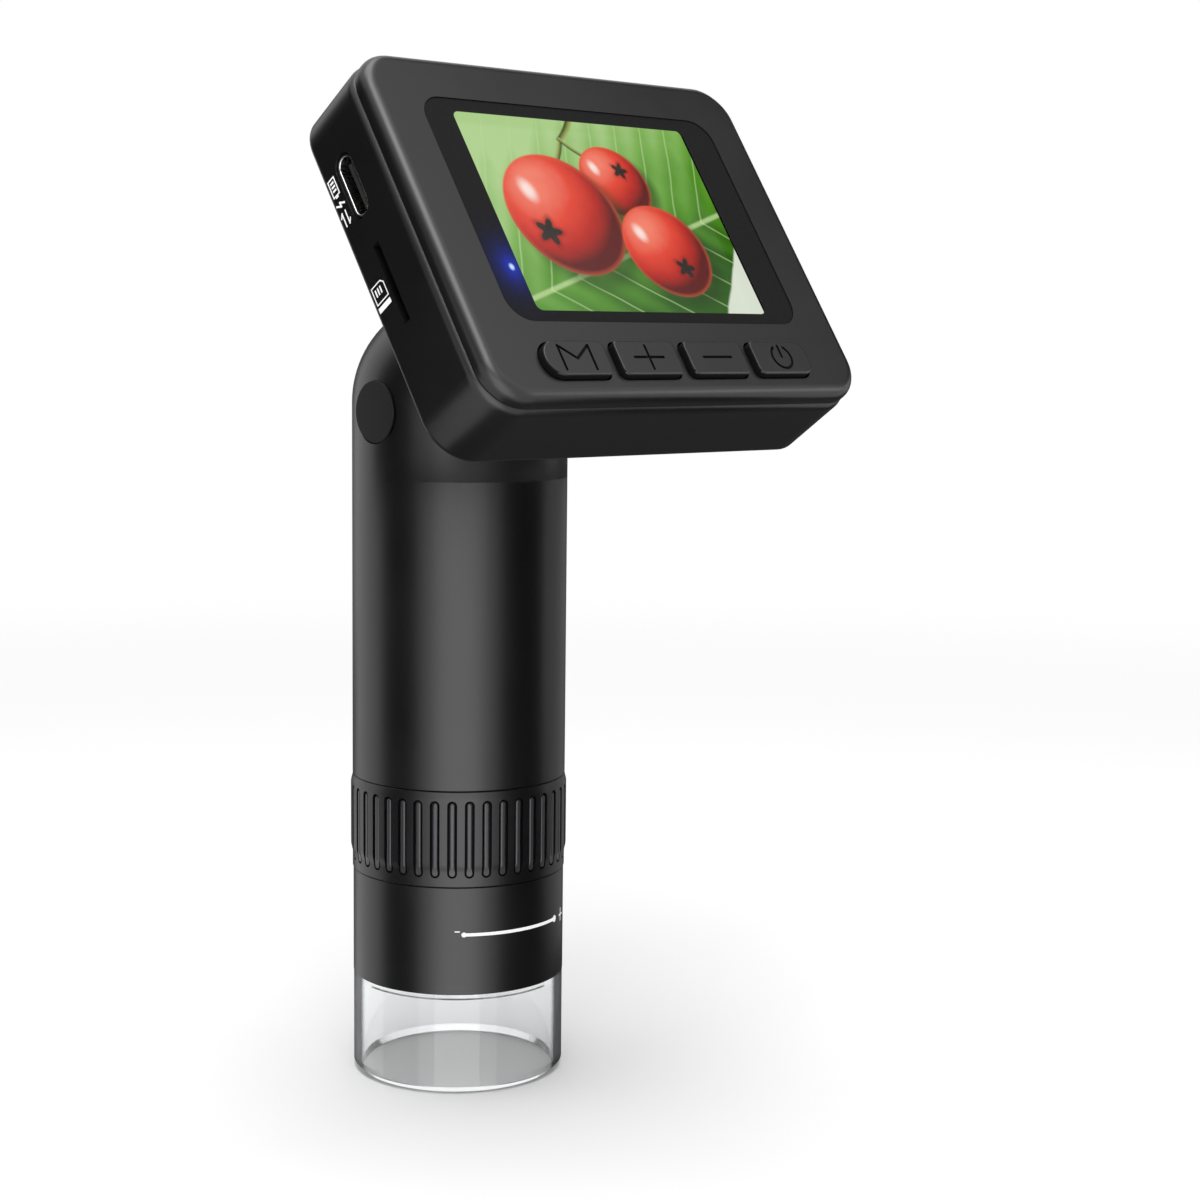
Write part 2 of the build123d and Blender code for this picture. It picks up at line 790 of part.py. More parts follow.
def make_front_bezel():
    """Front plate with the window seat, button holes and screw bosses."""
    body = slab(head_outline(bezel_inset), plate_under, face_w)
    body = fillet(body.faces().sort_by(Axis.Z)[-1].edges(), bezel_edge_round)
    tongue_out = case_wall + fit_gap * 2
    tongue = head_outline(tongue_out) - head_outline(tongue_out + bezel_tongue_wall)
    body = body + slab(tongue, plate_under - bezel_tongue_depth, plate_under)
    body = join_all(body, posts(case_screw_places, case_boss_radius,
                                boss_joint + fit_gap, plate_under))
    body = cut_all(body, posts(case_screw_places, case_screw_radius + fit_gap,
                               boss_joint - 1, plate_under - case_screw_hole_end))
    body = body - slab(window_outline(0), window_w, face_w + 1)
    body = body - slab(window_outline(window_ledge), plate_under - 1, face_w)
    body = body - slab(panel_outline(-panel_pocket_gap), plate_under - 1, panel_front)
    bay_half = panel_ribbon_width / 2 + loose_gap
    body = body - block((panel_edge, panel_edge + panel_ribbon_out + loose_gap),
                        (active_v - bay_half, active_v + bay_half),
                        (plate_under - 1, panel_under + 2 * ribbon_thickness))
    holes = [button_face(name, button_hole_gap) for name in button_names]
    return cut_all(body, [slab(hole, plate_under - 1, face_w + 1) for hole in holes])


def make_display_window():
    return slab(window_outline(fit_gap), window_w, face_w - window_sink)


def make_picture_panel():
    return slab(panel_outline(), panel_under, panel_front)


def make_panel_frame():
    """Frame that carries the panel and its backlight on the main board."""
    shelf = panel_under - backlight_thickness
    body = slab(panel_outline(), board_front, panel_under)
    body = body - slab(panel_outline(panel_frame_wall), shelf, panel_under + 1)
    return body - slab(panel_outline(panel_frame_wall + panel_frame_ledge),
                       board_front - 1, shelf + 1)


def make_backlight():
    return slab(panel_outline(panel_frame_wall + fit_gap),
                panel_under - backlight_thickness, panel_under)


def make_panel_ribbon():
    """Flat cable from the panel's right edge down to the main board."""
    middle = panel_under + ribbon_thickness
    down = panel_edge + panel_ribbon_out
    floor = board_front + ribbon_thickness / 2
    line = Polyline((panel_edge, middle), (down, middle), (down, floor),
                    (down + panel_ribbon_foot, floor))
    face = trace(line, ribbon_thickness)
    stand = Plane(origin=(0, active_v + panel_ribbon_width / 2, 0),
                  x_dir=(1, 0, 0), z_dir=(0, -1, 0))
    strip = extrude(stand.location * face, panel_ribbon_width)
    inside = (panel_edge - 1, panel_edge)
    return strip - block(inside, (-head_height, head_height), (0, face_w))


def make_main_board():
    """Board with its corners cut away round the case screws."""
    body = slab(Pos(0, head_rise) * Rectangle(board_width, board_height),
                board_rear, board_front)
    reach = case_boss_radius + loose_gap
    for x, v in case_screw_places:
        out_x = reach if x > 0 else -reach
        out_v = reach if v > head_rise else -reach
        notch = Pos(x + out_x, v + out_v) * RectangleRounded(4 * reach, 4 * reach, reach)
        body = body - slab(notch, board_rear - 1, board_front + 1)
    return cut_all(body, posts(board_screw_places, board_screw_radius + fit_gap,
                               board_rear - 1, board_front + 1))


def make_board_screws():
    screws = []
    for x, v in board_screw_places:
        shank = Pos(x, v, board_rear - board_screw_depth) * extrude(
            Circle(board_screw_radius), board_thickness + board_screw_depth)
        head = Pos(x, v, board_front) * extrude(Circle(board_screw_head),
                                                board_screw_head_height)
        screws.append(shank + head)
    return Compound(screws)


def make_board_chips():
    low = board_rear - chip_height
    return Compound([block(*spans, (low, board_rear)) for spans in chip_spans])


def make_usb_shell():
    start = -head_width / 2 + usb_sink
    whole = side_slot(0, (start, start + usb_length))
    room = side_slot(usb_shell_wall, (start - 1, start + usb_length - usb_shell_wall))
    shell = whole - room
    mouth = shell.faces().sort_by(Axis.X)[0]
    return fillet(mouth.inner_wires()[0].edges(), usb_rim_round)


def make_usb_tongue():
    """Contact tongue on the block that closes the socket's back."""
    back = -head_width / 2 + usb_sink + usb_length - usb_shell_wall
    base = side_slot(usb_shell_wall + fit_gap, (back - usb_base_depth, back))
    half_width, half_thick = usb_tongue_width / 2, usb_tongue_thickness / 2
    tongue = block((back - usb_base_depth - usb_tongue_length, back - usb_base_depth / 2),
                   (usb_v - half_width, usb_v + half_width),
                   (usb_w - half_thick, usb_w + half_thick))
    return base + tongue


def make_card_socket():
    """Thin metal shell behind the card slot, on feet from the board."""
    start = -head_width / 2 + case_wall + fit_gap
    half = card_shell_width / 2
    low, high = card_w - card_shell_height / 2, card_w + card_shell_height / 2
    body = block((start, start + card_shell_depth), (card_v - half, card_v + half),
                 (low, high))
    room_half = card_slot_width / 2
    body = body - block((start - 1, start + card_shell_depth - card_shell_wall),
                        (card_v - room_half, card_v + room_half),
                        (low + card_shell_wall, high - card_shell_wall))
    foot = card_foot_side
    feet = [
        block((x, x + foot), (v, v + foot), (high, board_rear))
        for x in (start + foot, start + card_shell_depth - 2 * foot)
        for v in (card_v - half, card_v + half - foot)
    ]
    return join_all(body, feet)


def make_case_screws():
    screws = []
    head_low = case_back + case_screw_sink
    head_high = head_low + case_screw_head_height
    for x, v in case_screw_places:
        head = Pos(x, v, head_low) * extrude(Circle(case_screw_head),
                                             case_screw_head_height)
        shank = Pos(x, v, head_high) * extrude(Circle(case_screw_radius),
                                               plate_under - case_screw_end_gap
                                               - head_high)
        arm = 2 * case_screw_head * screw_cross_share
        cross = Pos(x, v, head_low) * (
            Box(arm, screw_cross_width, 2 * screw_cross_depth)
            + Box(screw_cross_width, arm, 2 * screw_cross_depth))
        screws.append(head + shank - cross)
    return Compound(screws)


# buttons ---------------------------------------------------------------


def button_face(name, grow):
    """A button's outline: the mode button ends round, the power one softly."""
    width, height = button_width + 2 * grow, button_height + 2 * grow
    left = button_corner
    right = button_corner
    if name == "mode":
        left = mode_end_corner
    if name == "power":
        right = power_end_corner
    face = Rectangle(width, height)
    face = fillet(face.vertices().group_by(Axis.X)[0], left + grow)
    face = fillet(face.vertices().group_by(Axis.X)[-1], right + grow)
    return Pos(button_x[name], button_row_v) * face


def make_mark(name):
    """The sign engraved on a button, about the button's centre."""
    reach_x, reach_v = mark_reach_across, mark_reach_up
    middle = reach_v * (2 * mark_middle_share - 1)
    lines = {
        "mode": [(-reach_x, -reach_v, -reach_x, reach_v),
                 (-reach_x, reach_v, 0, middle), (0, middle, reach_x, reach_v),
                 (reach_x, reach_v, reach_x, -reach_v)],
        "plus": [(-reach_x, 0, reach_x, 0), (0, -reach_v, 0, reach_v)],
        "minus": [(-reach_x, 0, reach_x, 0)],
        "power": [(0, 0, 0, reach_v)],
    }[name]
    mark = Sketch()
    for x0, y0, x1, y1 in lines:
        length = abs(complex(x1 - x0, y1 - y0))
        turn = degrees(atan2(y1 - y0, x1 - x0))
        mark += Pos((x0 + x1) / 2, (y0 + y1) / 2) * Rot(0, 0, turn) * \
            SlotCenterToCenter(length, mark_stroke)
    if name == "power":
        half = mark_stroke / 2
        ring = Circle(reach_v + half) - Circle(reach_v - half)
        gap = Pos(0, reach_v) * Rectangle(4 * mark_stroke, 4 * mark_stroke)
        mark += ring - gap
    return Pos(button_x[name], button_row_v) * mark


def make_button(name):
    """Cap, the flange that stops it under the plate, and its stem."""
    top = face_w + button_proud
    flange_top = plate_under - fit_gap
    flange_low = flange_top - button_flange_thickness
    cap = slab(button_face(name, 0), flange_low, top)
    cap = fillet(cap.faces().sort_by(Axis.Z)[-1].edges(), button_edge)
    body = cap + slab(button_face(name, button_flange), flange_low, flange_top)
    plunger_top = board_front + switch_body_height + switch_plunger_height
    stem_low = plunger_top + button_travel + fit_gap
    stem = Pos(button_x[name], button_row_v, stem_low) * extrude(
        Circle(button_stem_radius), flange_low - stem_low)
    body = body + stem
    return body - slab(make_mark(name), top - mark_depth, top + 1)


def make_button_switches():
    half = switch_side / 2
    body_top = board_front + switch_body_height
    switches = []
    for name in button_names:
        x = button_x[name]
        base = block((x - half, x + half), (button_row_v - half, button_row_v + half),
                     (board_front, body_top))
        plunger = Pos(x, button_row_v, body_top) * extrude(
            Circle(switch_plunger_radius), switch_plunger_height)
        switches.append(base + plunger)
    return Compound(switches)


def make_status_lamp():
    half_x, half_v = light_lamp_size[0] / 2, light_lamp_size[1] / 2
    return block((light_x - half_x, light_x + half_x), (light_v - half_v, light_v + half_v),
                 (board_front, board_front + light_lamp_height))


def make_light_pipe():
    low = board_front + light_lamp_height
    return Pos(light_x, light_v, low) * extrude(Circle(light_pipe_radius),
                                                  window_w - fit_gap - low)


# ----------------------------------------------------------------------
# Every node, in the part's own frame
# ----------------------------------------------------------------------

handle_nodes = {
    "barrel_tube": make_barrel_tube,
    "guide_sleeve": make_guide_sleeve,
    "lower_barrel": make_lower_barrel,
    "clear_hood": make_clear_hood,
    "focus_ring": make_focus_ring,
    "lens_carrier": make_lens_carrier,
    "objective_lens": lambda: make_lens(nose_z + retainer_length, False),
    "rear_lens": lambda: make_lens(cam_z + lens_web / 2 - lens_thickness, True),
    "lens_retainer": make_lens_retainer,
    "lamp_board": make_lamp_board,
    "lamps": make_lamps,
    "light_diffuser": make_diffuser,
    "sensor_board": make_sensor_board,
    "image_sensor": make_image_sensor,
    "camera_ribbon": make_camera_ribbon,
    "power_board": make_power_board,
    "battery_cell": make_cell,
    "battery_tabs": make_cell_tabs,
    "battery_cradle": make_cell_cradle,
    "hinge_pin": make_hinge_pin,
    "friction_washers": make_friction_washers,
    "spring_washer": make_spring_washer,
    "hinge_nut": make_hinge_nut,
    "hinge_cap_left": lambda: make_hinge_cap(-1),
    "hinge_cap_right": lambda: make_hinge_cap(1),
}

head_nodes = {
    "rear_case": make_rear_case,
    "front_bezel": make_front_bezel,
    "display_window": make_display_window,
    "picture_panel": make_picture_panel,
    "panel_backlight": make_backlight,
    "panel_frame": make_panel_frame,
    "panel_ribbon": make_panel_ribbon,
    "main_board": make_main_board,
    "board_screws": make_board_screws,
    "board_chips": make_board_chips,
    "usb_shell": make_usb_shell,
    "usb_tongue": make_usb_tongue,
    "card_socket": make_card_socket,
    "case_screws": make_case_screws,
    "button_switches": make_button_switches,
    "status_lamp": make_status_lamp,
    "status_light_pipe": make_light_pipe,
    "mode_button": lambda: make_button("mode"),
    "plus_button": lambda: make_button("plus"),
    "minus_button": lambda: make_button("minus"),
    "power_button": lambda: make_button("power"),
}

os.makedirs("parts", exist_ok=True)
for node, make in handle_nodes.items():
    export_step(make(), f"parts/{node}.step")
for node, make in head_nodes.items():
    export_step(head_frame * make(), f"parts/{node}.step")
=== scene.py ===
from math import atan2, cos, pi, radians, sin

import bpy
from mathutils import Matrix, Vector


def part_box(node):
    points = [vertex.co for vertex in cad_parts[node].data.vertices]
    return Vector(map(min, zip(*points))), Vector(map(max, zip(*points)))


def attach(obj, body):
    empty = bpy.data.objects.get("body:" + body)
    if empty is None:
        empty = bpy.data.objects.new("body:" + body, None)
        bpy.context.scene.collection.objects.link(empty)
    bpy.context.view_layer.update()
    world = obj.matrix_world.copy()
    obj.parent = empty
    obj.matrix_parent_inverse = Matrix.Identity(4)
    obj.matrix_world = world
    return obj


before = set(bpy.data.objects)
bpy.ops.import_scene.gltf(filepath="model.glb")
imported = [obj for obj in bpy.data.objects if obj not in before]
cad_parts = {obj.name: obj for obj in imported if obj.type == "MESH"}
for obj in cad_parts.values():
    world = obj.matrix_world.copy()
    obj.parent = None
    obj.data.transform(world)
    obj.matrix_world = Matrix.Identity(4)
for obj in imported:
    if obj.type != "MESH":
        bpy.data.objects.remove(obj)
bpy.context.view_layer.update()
bpy.ops.object.select_all(action="DESELECT")

MM = 0.001

# The head's own frame: across, up the screen and out from the middle of the domed top.
LEAN = radians(34.4)
DOME_HEIGHT = 97.42 * MM
HEAD = Matrix((
    (1, 0, 0, 0),
    (0, sin(LEAN), -cos(LEAN), 0),
    (0, cos(LEAN), sin(LEAN), DOME_HEIGHT),
    (0, 0, 0, 1),
))

# ---------------------------------------------------------------- camera

EYE = Vector((-204.503, -255.056, 108.625)) * MM
TURN, DIP, ROLL = -0.738278, 0.120547, -0.011286
LENS = 67.859


def set_camera():
    """The camera that sees the object from its front left."""
    ahead = Vector((-sin(TURN) * cos(DIP), cos(TURN) * cos(DIP), -sin(DIP)))
    level = Vector((cos(TURN), sin(TURN), 0))
    down = ahead.cross(level)
    right = cos(ROLL) * level + sin(ROLL) * down
    up = sin(ROLL) * level - cos(ROLL) * down
    data = bpy.data.cameras.new("camera")
    data.lens = LENS
    data.sensor_width = 36
    data.clip_start = 0.01
    camera = bpy.data.objects.new("camera", data)
    axes = Matrix((right, up, -ahead)).transposed()
    camera.matrix_world = Matrix.Translation(EYE) @ axes.to_4x4()
    bpy.context.scene.collection.objects.link(camera)
    bpy.context.scene.camera = camera


# ------------------------------------------------------- shader building


class Value:
    """One socket: a number or a colour that varies over a surface."""

    def __init__(self, drawing, socket):
        self.drawing = drawing
        self.socket = socket

    def maths(self, operation, *others):
        """A sum with this value as its first number."""
        numbers = dict(enumerate((self, *others)))
        return self.drawing.node("Math", {"operation": operation}, numbers)

    def __add__(self, other):
        return self.maths("ADD", other)

    def __sub__(self, other):
        return self.maths("SUBTRACT", other)

    def __rsub__(self, other):
        return self.maths("MULTIPLY_ADD", -1, other)

    def __mul__(self, other):
        return self.maths("MULTIPLY", other)

    def __truediv__(self, other):
        return self.maths("DIVIDE", other)

    def __abs__(self):
        return self.maths("ABSOLUTE")

    __radd__ = __add__
    __rmul__ = __mul__

    def least(self, other):
        """The smaller of the two."""
        return self.maths("MINIMUM", other)

    def most(self, other):
        """The larger of the two."""
        return self.maths("MAXIMUM", other)

    def root(self):
        return self.most(0).maths("SQRT")

    def wave(self, height):
        """Rises from 0 to height and falls back to 0, over and over."""
        return self.maths("PINGPONG", height)

    def fade(self, start, end):
        """0 at start and 1 at end, with a soft step between them."""
        return self.drawing.node(
            "MapRange", {"interpolation_type": "SMOOTHSTEP"},
            {"Value": self, "From Min": start, "From Max": end})

    def below(self, limit, blur):
        """1 below the limit and 0 above it."""
        return self.fade(limit + blur, limit - blur)

    def pick(self, low, high):
        """Colour low where this is 0 and high where it is 1."""
        return self.drawing.node("Mix", {"data_type": "RGBA"}, {0: self, 6: low, 7: high}, 2)


class Drawing:
    """A node tree being drawn, for a material or for the world."""

    def __init__(self, tree):
        self.tree = tree
        self.tree.nodes.clear()

    def node(self, kind, settings=(), sockets=(), out=0):
        """Adds one node: its settings first, then the values and links of its sockets."""
        made = self.tree.nodes.new("ShaderNode" + kind)
        for name, value in dict(settings).items():
            if name == "stops":
                ramp = made.color_ramp
                while len(ramp.elements) < len(value):
                    ramp.elements.new(1)
                for element, (place, colour) in zip(ramp.elements, value):
                    element.position = place
                    element.color = colour
            else:
                setattr(made, name, value)
        for name, value in dict(sockets).items():
            if isinstance(value, Value):
                self.tree.links.new(value.socket, made.inputs[name])
            else:
                made.inputs[name].default_value = value
        return Value(self, made.outputs[out]) if made.outputs else None

    def place(self):
        """The place on the object, in its own frame."""
        return self.node("TexCoord", (), (), "Object")

    def parts(self, axes):
        """The place's numbers along the named axes, in metres."""
        return [self.node("SeparateXYZ", (), {0: self.place()}, axis) for axis in axes]

    def from_axis(self):
        """Distance from the barrel's axis, in millimetres."""
        x, y = self.parts("XY")
        return distance(x, y) / MM

    def noise(self, scale, detail, vector=None):
        return self.node("TexNoise", (), {
            "Vector": vector or self.place(), "Scale": scale, "Detail": detail})

    def ramp(self, value, *stops):
        return self.node("ValToRGB", {"stops": stops}, {0: value})

    def bump(self, height, depth, strength):
        return self.node("Bump", (), {
            "Height": height, "Distance": depth, "Strength": strength})

    def head_place(self):
        """Across, up and out in the head's own frame, in millimetres."""
        x, y, z = self.parts("XYZ")
        z = z - DOME_HEIGHT
        return (x / MM,
                (y * sin(LEAN) + z * cos(LEAN)) / MM,
                (z * sin(LEAN) - y * cos(LEAN)) / MM)


def distance(x, y):
    """Distance from the middle, for a place given by two numbers."""
    return (x * x + y * y).root()


def rgb(red, green, blue):
    """A colour from its screen values, 0 to 255."""
    def linear(step):
        share = step / 255
        return share / 12.92 if share < 0.04045 else ((share + 0.055) / 1.055) ** 2.4
    return (linear(red), linear(green), linear(blue), 1)


def grey(level):
    return (level, level, level, 1)


def scaled(colour, share):
    """A colour made darker, or lighter by a share over 1."""
    return tuple(part * share for part in colour[:3]) + (1,)


def new_finish(name):
    """A new material and the drawing of its nodes."""
    material = bpy.data.materials.new(name)
    material.use_nodes = True
    return material, Drawing(material.node_tree)


def shader(drawing, **sockets):
    """The main shader; names use _ for a space."""
    named = {name.replace("_", " "): value for name, value in sockets.items()}
    return drawing.node("BsdfPrincipled", (), named)


def surface(drawing, **sockets):
    """Ends a drawing in the main shader."""
    drawing.node("OutputMaterial", (), {"Surface": shader(drawing, **sockets)})


def mixed_surface(drawing, share, first, second):
    """Ends a drawing in two shaders, the second as strong as the share."""
    mix = drawing.node("MixShader", (), {0: share, 1: first, 2: second})
    drawing.node("OutputMaterial", (), {"Surface": mix})


# --------------------------------------------------------------- finishes


def moulded_plastic(name, colour, roughness=0.35, grain=0.012, cell=0.00028, level=0.6,
                    painted_shade=None, painted_highlight=None):
    """Spark-eroded moulded plastic: fine even grain, painted shade in recesses, painted
    highlights.
    """
    material, drawing = new_finish(name)
    fine = drawing.noise(1 / cell, 2.0)
    broad = drawing.noise(90, 3.0)
    skin = (broad * 0.6 + fine * 0.4).fade(0.3, 0.7)
    skin = skin.pick(scaled(colour, 0.85), scaled(colour, 1.2))
    # Painted highlight: paler where its mask is 1.
    if painted_highlight:
        skin = painted_highlight(drawing).pick(skin, rgb(52, 53, 56))
    look = {"Base_Color": skin, "Roughness": roughness - 0.04 + broad * 0.08,
            "Normal": drawing.bump(fine, grain * MM, 0.5), "Specular_IOR_Level": level}
    # Painted shade: a blacker, matter copy of the plastic where its mask is 1.
    if painted_shade:
        mixed_surface(drawing, painted_shade(drawing), shader(drawing, **look),
                      shader(drawing, Base_Color=fine.pick(rgb(7, 7, 8), rgb(11, 11, 12)),
                             Roughness=0.8, Specular_IOR_Level=0.15))
    else:
        surface(drawing, **look)
    return material


# The keys' tops and the middle of their row, in the head's own frame.
KEY_TOP, KEY_ROW = 42.35, -20.05
KEY_ROUND = 0.27            # depth of the rounding along their top edges


def painted_key_shade(drawing):
    """1 on the keys' sides and in the signs engraved in their tops, which get painted shade."""
    raised, out = drawing.head_place()[1:]
    signs = out.below(KEY_TOP - 0.05, 0.02) * abs(raised - KEY_ROW).below(2.15, 0.05)
    return signs.most(out.below(KEY_TOP - KEY_ROUND, 0.05))


# The focus ring's bars in their pockets, in millimetres from the barrel's axis and foot.
BAR_COUNT = 40
FIRST_BAR = radians(-132.1)
BAR_HALF_WIDTH, BAR_HALF_LENGTH = 0.38, 5.3
BAR_DISTANCE = 15.6
POCKET_SHADE = 15.42        # the pockets' walls get painted shade up to here
RING_BORE = 15.0            # nearer than this is the ring's inside
POCKET_MIDDLE, POCKET_HALF_LENGTH = 36.83, 5.62


def from_pocket_middle(drawing):
    """Height over or under the pockets' middle, in millimetres."""
    z = drawing.parts("Z")[0]
    return abs(z / MM - POCKET_MIDDLE)


def painted_pocket_shade(drawing):
    """1 in the pockets round the focus ring, beside their bars, where painted shade goes."""
    reach = drawing.from_axis()
    return (reach.below(POCKET_SHADE, 0.05) * reach.fade(RING_BORE - 0.1, RING_BORE)
            * from_pocket_middle(drawing).below(POCKET_HALF_LENGTH, 0.05))


def painted_bar_highlight(drawing):
    """1 on the bars in the ring's pockets, which get a paler painted highlight."""
    x, y = drawing.parts("XY")
    bar_step = 2 * pi / BAR_COUNT
    off = ((y.maths("ARCTAN2", x) - FIRST_BAR) / bar_step).wave(0.5) * (bar_step * BAR_DISTANCE)
    return (off.below(BAR_HALF_WIDTH, 0.05)
            * from_pocket_middle(drawing).below(BAR_HALF_LENGTH, 0.1))


def turned_metal(name, colour, roughness=0.3):
    """Bright metal with fine tool lines."""
    material, drawing = new_finish(name)
    stretched = drawing.node("Mapping", (), {
        "Vector": drawing.place(), "Scale": (600, 6000, 6000)})
    lines = drawing.noise(1.0, 4.0, stretched)
    surface(drawing, Base_Color=lines.fade(0.35, 0.65).pick(scaled(colour, 0.8), colour),
            Metallic=1.0, Roughness=roughness - 0.08 + lines * 0.16,
            Normal=drawing.bump(lines, 0.004 * MM, 0.5))
    return material


HOOD_WALL = 15.15           # between the hood's inner and outer face, from the barrel's axis


def clear_plastic(name, colour, painted_edge_shade, roughness=0.03):
    """Clear plastic with painted shade, a grey copy, where its outer face is seen edge-on."""
    material, drawing = new_finish(name)
    ripple = drawing.noise(60, 2.0)
    look = {"Roughness": roughness + ripple * 0.03, "Transmission_Weight": 1.0, "IOR": 1.49,
            "Normal": drawing.bump(ripple, 0.02 * MM, 0.3)}
    outer_wall = drawing.from_axis().fade(HOOD_WALL - 0.05, HOOD_WALL + 0.05)
    # Painted shade: the outer face turns to the grey copy where it is seen edge-on.
    edge = drawing.node("LayerWeight", (), {"Blend": 0.5}, "Facing").fade(0.56, 0.66)
    mixed_surface(drawing, edge * outer_wall * 0.9, shader(drawing, Base_Color=colour, **look),
                  shader(drawing, Base_Color=painted_edge_shade, Roughness=0.5, Specular_IOR_Level=0.3))
    return material


def lens_glass():
    """Coated glass: clear, with a faint violet bloom."""
    material, drawing = new_finish("coated_lens_glass")
    bloom = drawing.noise(300, 1.0)
    surface(drawing, Base_Color=bloom.pick(rgb(225, 220, 250), rgb(240, 240, 250)),
            Roughness=bloom * 0.04, Transmission_Weight=1.0, IOR=1.52, Coat_Weight=0.5,
            Coat_Tint=rgb(190, 150, 255))
    return material


def frosted_diffuser():
    """Milky plastic with fine moulded rings that spread the lamps' light."""
    material, drawing = new_finish("milky_ring_plastic")
    ring_gap = 0.5
    rings = (drawing.from_axis() * (2 * pi / ring_gap)).maths("SINE")
    speck = drawing.noise(2500, 2.0)
    surface(drawing, Base_Color=speck.pick(rgb(215, 215, 212), rgb(240, 240, 236)),
            Roughness=0.5 + speck * 0.15, Normal=drawing.bump(rings, 0.03 * MM, 0.6),
            Subsurface_Weight=0.3, Subsurface_Radius=(0.8 * MM, 0.8 * MM, 0.8 * MM),
            Transmission_Weight=0.25)
    return material


def circuit_board():
    """Green solder mask over copper tracks, with bare pads."""
    material, drawing = new_finish("green_circuit_board")
    across, raised = drawing.head_place()[:2]
    track = abs((across * 1.6).wave(1.0) - 0.5).below(0.2, 0.05)
    cross = abs((raised * 1.2).wave(1.0) - 0.5).below(0.16, 0.05)
    choice = drawing.noise(220, 1.0).fade(0.48, 0.52)
    lines = track * choice + cross * (1 - choice)
    pads = drawing.node("TexVoronoi", (), {"Vector": drawing.place(), "Scale": 420,
                                           "Randomness": 0.4}).below(0.22, 0.03)
    mask = lines.pick(rgb(12, 70, 38), rgb(26, 104, 58))
    surface(drawing, Base_Color=pads.pick(mask, rgb(214, 178, 104)),
            Metallic=pads, Roughness=0.35 + pads * 0.1,
            Normal=drawing.bump(lines + pads, 0.03 * MM, 0.4))
    return material


def ribbon_film():
    """Amber film with fine copper conductors along it."""
    material, drawing = new_finish("amber_ribbon_film")
    across = drawing.head_place()[0]
    wires = abs((across * 2.0).wave(1.0) - 0.5).below(0.22, 0.08)
    speck = drawing.noise(900, 2.0)
    surface(drawing, Base_Color=wires.pick(rgb(150, 84, 22), rgb(196, 122, 52)),
            Roughness=0.3 + speck * 0.15, Normal=drawing.bump(wires, 0.03 * MM, 0.5))
    return material


def cell_sleeve():
    """Shrunk blue sleeve on the can, open over both steel ends."""
    material, drawing = new_finish("blue_cell_sleeve")
    z = drawing.parts("Z")[0]
    lowest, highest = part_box("battery_cell")
    middle, half = (lowest.z + highest.z) / 2, (highest.z - lowest.z) / 2
    steel = (drawing.from_axis().below(6.6, 0.1)
             * abs(z - middle).fade(half - 0.4 * MM, half - 0.3 * MM))
    crinkle = drawing.noise(260, 4.0)
    surface(drawing,
            Base_Color=steel.pick(crinkle.pick(rgb(26, 62, 132), rgb(44, 88, 168)),
                                  rgb(196, 196, 190)),
            Metallic=steel, Roughness=0.28 + crinkle * 0.2,
            Normal=drawing.bump(crinkle, 0.06 * MM, 0.35))
    return material


def lamp_face():
    """White lamp housings with an amber window facing the specimen."""
    material, drawing = new_finish("white_lamp_face")
    z = drawing.parts("Z")[0]
    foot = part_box("lamps")[0].z
    window = (z - foot).below(0.05 * MM, 0.01 * MM)
    speck = drawing.noise(3000, 2.0)
    surface(drawing, Base_Color=window.pick(rgb(226, 224, 214), rgb(238, 206, 92)),
            Roughness=0.3 + speck * 0.2, Normal=drawing.bump(speck, 0.01 * MM, 0.4))
    return material


def status_lamp_face():
    """The blue lamp behind the light pipe, lit."""
    material, drawing = new_finish("blue_status_lamp")
    speck = drawing.noise(1500, 1.0)
    surface(drawing, Base_Color=speck.pick(rgb(120, 150, 235), rgb(170, 195, 250)),
            Roughness=0.25 + speck * 0.1, Emission_Color=rgb(60, 110, 255),
            Emission_Strength=1.0)
    return material


def white_moulding(name):
    """White moulded plastic, a little uneven."""
    material, drawing = new_finish(name)
    speck = drawing.noise(1400, 3.0)
    white = rgb(226, 226, 220)
    surface(drawing, Base_Color=speck.fade(0.35, 0.65).pick(scaled(white, 0.88), white),
            Roughness=0.45 + speck * 0.1, Normal=drawing.bump(speck, 0.01 * MM, 0.4))
    return material


def printed_ink():
    """White pad-printing ink, a little uneven, with a faint painted glow."""
    material, drawing = new_finish("white_printing_ink")
    speck = drawing.noise(5000, 2.0)
    # Painted light: the ink glows faintly, though it is no lamp.
    surface(drawing,
            Base_Color=speck.fade(0.3, 0.7).pick(rgb(236, 236, 236), rgb(255, 255, 255)),
            Roughness=0.5 + speck * 0.1, Normal=drawing.bump(speck, 0.004 * MM, 0.5),
            Emission_Color=grey(0.2), Emission_Strength=1.0)
    return material


# The picture area on the panel, in the head's own frame in millimetres.
PICTURE_X, PICTURE_UP = -0.3, 2.85
PICTURE_HALF_X, PICTURE_HALF_UP = 20.4, 15.3
PICTURE_CORNER = 1.0
PICTURE_BLEED = 1.1         # how far the picture runs on behind the printed border
PANEL_FRONT, WINDOW_FRONT = 40.15, 41.25        # the sheets' front faces lie past these
STATUS_X, STATUS_UP = -21.95, -6.0              # where the status lamp's lit point is painted


def inside_rounded(x, up, half_x, half_up, corner, blur):
    """1 inside a round-cornered rectangle and 0 outside it."""
    far_x = (abs(x) - (half_x - corner)).most(0)
    far_up = (abs(up) - (half_up - corner)).most(0)
    return distance(far_x, far_up).below(corner, blur)


